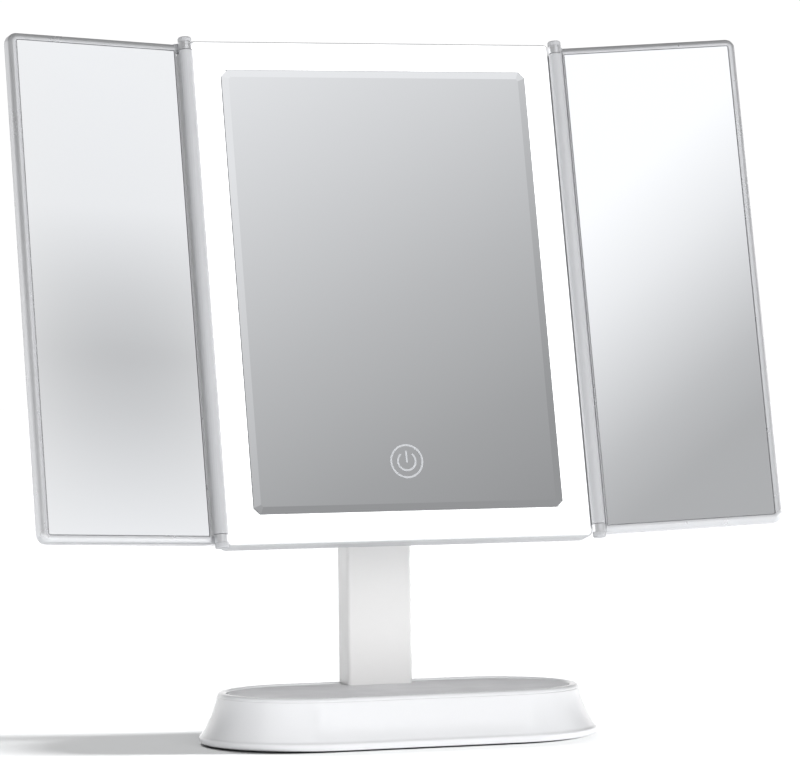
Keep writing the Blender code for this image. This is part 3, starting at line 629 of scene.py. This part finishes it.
def gradient_card(name, corners, normal, across, down, stops, spare_across, sides=False):
    """A glowing board that only glossy surfaces see, placed where a mirror shows it to the eye.

    Corners are the glass's (top left, top right, bottom left) in the row frame. The tone runs
    along a direction (across, down) on the card, through stops of (position, display value).
    """
    image = EYE - 2.0 * (EYE - corners[0]).dot(normal) * normal
    spots = []
    for corner in corners:
        ray = (corner - image).normalized()
        spots.append(corner + ray * CARD_DISTANCE)
    right, lower = spots[1] - spots[0], spots[2] - spots[0]
    bm = bmesh.new()
    layer = bm.loops.layers.uv.new("card")
    low_u, high_u = -spare_across, 1 + spare_across
    low_v, high_v = -CARD_SPARE_DOWN, 1 + CARD_SPARE_DOWN
    places = ((low_u, low_v), (high_u, low_v), (high_u, high_v), (low_u, high_v))
    face = bm.faces.new([bm.verts.new(spots[0] + right * u + lower * v) for u, v in places])
    for loop, place in zip(face.loops, places):
        loop[layer].uv = place
    mesh = bpy.data.meshes.new(name)
    bm.to_mesh(mesh)
    bm.free()
    card = link(bpy.data.objects.new(name, mesh))
    material = bpy.data.materials.new(name)
    material.use_nodes = True
    material.cycles.emission_sampling = "NONE"
    tree = material.node_tree
    tree.nodes.clear()
    coords = tree.nodes.new("ShaderNodeTexCoord")
    dot = tree.nodes.new("ShaderNodeVectorMath")
    dot.operation = "DOT_PRODUCT"
    dot.inputs[1].default_value = (across, down, 0.0)
    fit = tree.nodes.new("ShaderNodeMapRange")
    fit.inputs["From Min"].default_value = CARD_SCALE[0]
    fit.inputs["From Max"].default_value = CARD_SCALE[1]
    ramp = tree.nodes.new("ShaderNodeValToRGB")
    elements = ramp.color_ramp.elements
    while len(elements) < len(stops):
        elements.new(0.5)
    for element, (position, value) in zip(elements, stops):
        level = srgb_to_linear(value) / GLASS_TINT
        element.position = (position - CARD_SCALE[0]) / (CARD_SCALE[1] - CARD_SCALE[0])
        element.color = (level, level * 1.01, level * 1.03, 1.0)
    emission = tree.nodes.new("ShaderNodeEmission")
    output = tree.nodes.new("ShaderNodeOutputMaterial")
    tree.links.new(coords.outputs["UV"], dot.inputs[0])
    tree.links.new(dot.outputs["Value"], fit.inputs["Value"])
    tree.links.new(fit.outputs["Result"], ramp.inputs["Fac"])
    tree.links.new(ramp.outputs["Color"], emission.inputs["Color"])
    if sides:
        lighten_sides(tree, coords.outputs["UV"], ramp.outputs["Color"], emission, stops[0][1])
    tree.links.new(emission.outputs["Emission"], output.inputs["Surface"])
    mesh.materials.append(material)
    for kind in ("camera", "diffuse", "transmission", "volume_scatter", "shadow"):
        setattr(card, f"visible_{kind}", False)


def make_gradient_cards():
    """Soft graded boards in front of the three mirrors."""
    def corners(matrix, left, right, half_height, depth):
        spots = ((left, half_height), (right, half_height), (left, -half_height))
        return [matrix @ Vector((x, depth, z)) for x, z in spots]
    panel = panel_matrix()
    front = Vector((0.0, -1.0, 0.0))
    spots = corners(panel, -0.0752, 0.0752, 0.1057, -0.0006)
    stops = ((-0.6, 238), (0.0, 226), (0.25, 207), (0.5, 184), (0.75, 162), (0.95, 148))
    gradient_card("card_centre", spots, panel_normal(), 0.25, 0.70, stops, 1.0)
    for word, side in (("left", -1), ("right", 1)):
        matrix = wing_matrix(word)
        normal = (matrix.to_3x3() @ front).normalized()
        reach = sorted((side * 0.0045, side * 0.0850))
        spots = corners(matrix, *reach, 0.1151, WING_SET_BACK)
        if word == "left":
            stops = ((0.0, 240), (0.33, 234), (0.5, 208), (0.63, 191), (0.75, 203), (1.0, 236))
            gradient_card("card_left", spots, normal, 0.0, 1.0, stops, 0.6, sides=True)
        else:
            stops = ((0.28, 255), (0.45, 236), (0.7, 190), (0.82, 174))
            gradient_card("card_right", spots, normal, 0.21, 0.79, stops, 0.6)


def make_studio():
    make_camera()
    floor = make_floor()
    make_world()
    make_gradient_cards()
    key = area_light("key", (0.35, -2.2, 1.2), (0.0, 0.0, 0.15), 1.4, 29.0)
    key.visible_glossy = False
    SCENE.view_settings.view_transform = "Standard"
    return floor


def collect(name, obj):
    collection = bpy.data.collections.new(name)
    collection.objects.link(obj)
    return collection


def base_lights(base):
    """Two small soft lights from above the front: one brightens only the base, one its tray."""
    light = area_light("base_top_light", (-0.75, -0.65, 0.75), (0.0, 0.0, 0.015), 1.1, 2.4)
    light.light_linking.receiver_collection = collect("base_top_light_lights", base)
    tray = area_light("tray_light", (0.0, -0.60, 0.70), (0.0, 0.0, 0.023), 0.6, 3.8)
    tray.light_linking.receiver_collection = collect("tray_light_lights", NODES["tray_mat"])


def floor_sun(name, energy, angle, direction, floor, blocker=None):
    """A wide sun that lights only the floor, with shadows from everything or from one piece."""
    lamp = bpy.data.lights.new(name, "SUN")
    lamp.energy = energy
    lamp.angle = math.radians(angle)
    sun = link(bpy.data.objects.new(name, lamp))
    sun.matrix_world = Vector(direction).to_track_quat("-Z", "Y").to_matrix().to_4x4()
    sun.light_linking.receiver_collection = collect(name + "_lights", floor)
    if blocker:
        sun.light_linking.blocker_collection = collect(name + "_blockers", blocker)


LOOKS = make_materials()
FLOOR = make_studio()
paint_nodes(LOOKS)
BASE = make_base_moulding(LOOKS)
floor_sun("side_wash", 31.0, 11.0, (-1.0, 0.27, -0.22), FLOOR)
floor_sun("rear_wash", 4.4, 32.0, (0.10, -1.0, -0.78), FLOOR, BASE)
base_lights(BASE)
make_wing_surround("left", LOOKS)
make_wing_surround("right", LOOKS)
make_touch_mark(LOOKS)
